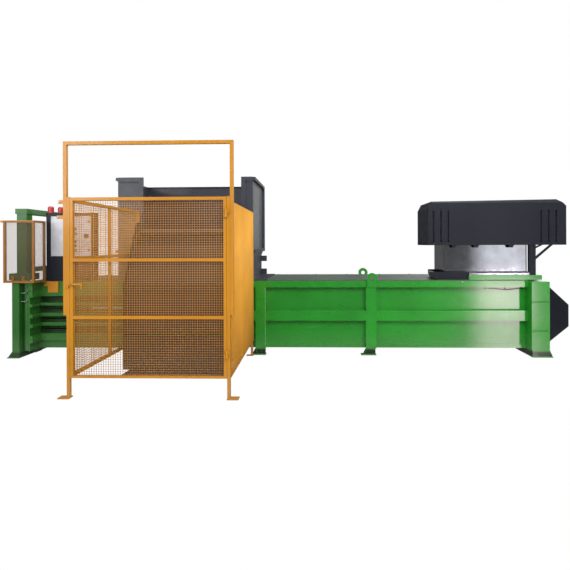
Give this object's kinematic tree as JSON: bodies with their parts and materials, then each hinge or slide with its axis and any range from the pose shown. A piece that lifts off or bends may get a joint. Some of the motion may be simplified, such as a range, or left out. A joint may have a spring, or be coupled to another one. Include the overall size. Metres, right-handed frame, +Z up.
{
  "type": "horizontal channel baler with bin lifter",
  "caption": "Horizontal channel baler with a tipping bin lifter in a mesh safety cage, a lift-door outlet portal, a control cabinet and a hooded hydraulic power unit on the channel.",
  "frame": {"origin": "centre of the machine's footprint box, on the floor", "axes": "+Z up; X along the press channel from the bale outlet (-X) to the ram drive (+X); -Y is the operator's side with the cage and cabinet"},
  "size_m": [8.177, 3.451, 2.652],
  "materials": {
    "body_green": "satin green paint",
    "dark_green": "satin green paint, darker",
    "anthracite": "semi-gloss anthracite paint",
    "black_paint": "fine-textured black paint",
    "safety_yellow": "gloss yellow-orange paint",
    "grey_plate": "light grey paint",
    "galvanised": "galvanised sheet",
    "steel": "bare machined steel",
    "chromed_rod": "hard chromed rod",
    "silver_panel": "satin anodised",
    "red_plastic": "translucent red lens",
    "green_button": "moulded",
    "red_button": "moulded",
    "black_plastic": "moulded"
  },
  "bodies": {
    "frame": {"end_frame": "dark_green", "door_portal": "dark_green", "door_cylinders": "dark_green", "cylinder_pipes": "steel", "chamber_wall_front": "body_green", "chamber_wall_rear": "body_green", "channel_floor": "dark_green", "side_wall_front": "body_green", "side_wall_rear": "body_green", "wall_posts_front": "body_green", "wall_posts_rear": "body_green", "chamber_roof": "body_green", "roof_covers": "grey_plate", "lifting_lugs": "body_green", "right_end_frame": "body_green", "rear_cover": "black_paint", "main_cylinder": "black_paint", "fixed_knife": "steel", "hopper_left_wall": "anthracite", "hopper_right_wall": "anthracite", "hopper_rear_wall": "anthracite", "hopper_wings": "anthracite", "hopper_flange": "anthracite", "hopper_stubs": "anthracite", "feed_apron": "anthracite", "lifter_stand": "anthracite", "cage_posts": "safety_yellow", "goal_frame": "safety_yellow", "side_frame_left": "safety_yellow", "side_frame_right": "safety_yellow", "side_mesh_left": "safety_yellow", "side_mesh_right": "safety_yellow", "guard_frame": "safety_yellow", "guard_mesh": "safety_yellow", "cabinet_box": "black_paint", "signal_lamps": "red_plastic", "power_base": "body_green", "drip_tray": "black_paint", "oil_tank": "galvanised", "power_hood": "black_paint", "hood_bracket": "black_paint", "electric_motor": "black_paint", "hydraulic_pump": "black_paint"},
    "door": {"bale_door": "dark_green", "door_rods": "chromed_rod"},
    "ram": {"press_ram": "steel", "main_rod": "chromed_rod"},
    "cradle": {"bin_cradle": "anthracite", "lifter_shaft": "anthracite"},
    "gate": {"gate_frame": "safety_yellow", "gate_mesh": "safety_yellow"},
    "latch": {"gate_latch": "black_plastic"},
    "cabinet_leaf": {"cabinet_door": "black_paint", "operator_panel": "silver_panel"},
    "switch_knob": {"main_switch": "red_button"},
    "button_1": {"push_button_1": "red_button"},
    "button_2": {"push_button_2": "green_button"},
    "button_3": {"push_button_3": "black_plastic"},
    "button_4": {"push_button_4": "black_plastic"},
    "button_5": {"push_button_5": "green_button"}
  },
  "joints": [
    {"name": "door_lift", "type": "slide", "parent": "frame", "child": "door", "axis": [0, 0, 1], "range_m": [0, 0.74]},
    {"name": "ram_stroke", "type": "slide", "parent": "frame", "child": "ram", "axis": [-1, 0, 0], "range_m": [0, 1.78]},
    {"name": "cradle_tip", "type": "hinge", "parent": "frame", "child": "cradle", "pos_m": [-1.4965, -0.1785, 1.74], "axis": [-1, 0, 0], "range_deg": [0, 135]},
    {"name": "gate_swing", "type": "hinge", "parent": "frame", "child": "gate", "pos_m": [-0.6155, -1.7115, 1.1], "axis": [0, 0, 1], "range_deg": [0, 105]},
    {"name": "latch_turn", "type": "hinge", "parent": "gate", "child": "latch", "pos_m": [-2.226, -1.7015, 1.172], "axis": [0, 1, 0], "range_deg": [0, 55]},
    {"name": "cabinet_swing", "type": "hinge", "parent": "frame", "child": "cabinet_leaf", "pos_m": [-2.9365, 0.1695, 1.55], "axis": [0, 0, 1], "range_deg": [0, 110]},
    {"name": "switch_turn", "type": "hinge", "parent": "cabinet_leaf", "child": "switch_knob", "pos_m": [-3.0165, 0.1515, 1.706], "axis": [0, 1, 0], "range_deg": [0, 90]},
    {"name": "button_1_press", "type": "slide", "parent": "cabinet_leaf", "child": "button_1", "axis": [0, 1, 0], "range_m": [0, 0.005], "stiffness_N_per_m": 400},
    {"name": "button_2_press", "type": "slide", "parent": "cabinet_leaf", "child": "button_2", "axis": [0, 1, 0], "range_m": [0, 0.005], "stiffness_N_per_m": 400},
    {"name": "button_3_press", "type": "slide", "parent": "cabinet_leaf", "child": "button_3", "axis": [0, 1, 0], "range_m": [0, 0.005], "stiffness_N_per_m": 400},
    {"name": "button_4_press", "type": "slide", "parent": "cabinet_leaf", "child": "button_4", "axis": [0, 1, 0], "range_m": [0, 0.005], "stiffness_N_per_m": 400},
    {"name": "button_5_press", "type": "slide", "parent": "cabinet_leaf", "child": "button_5", "axis": [0, 1, 0], "range_m": [0, 0.005], "stiffness_N_per_m": 400}
  ]
}
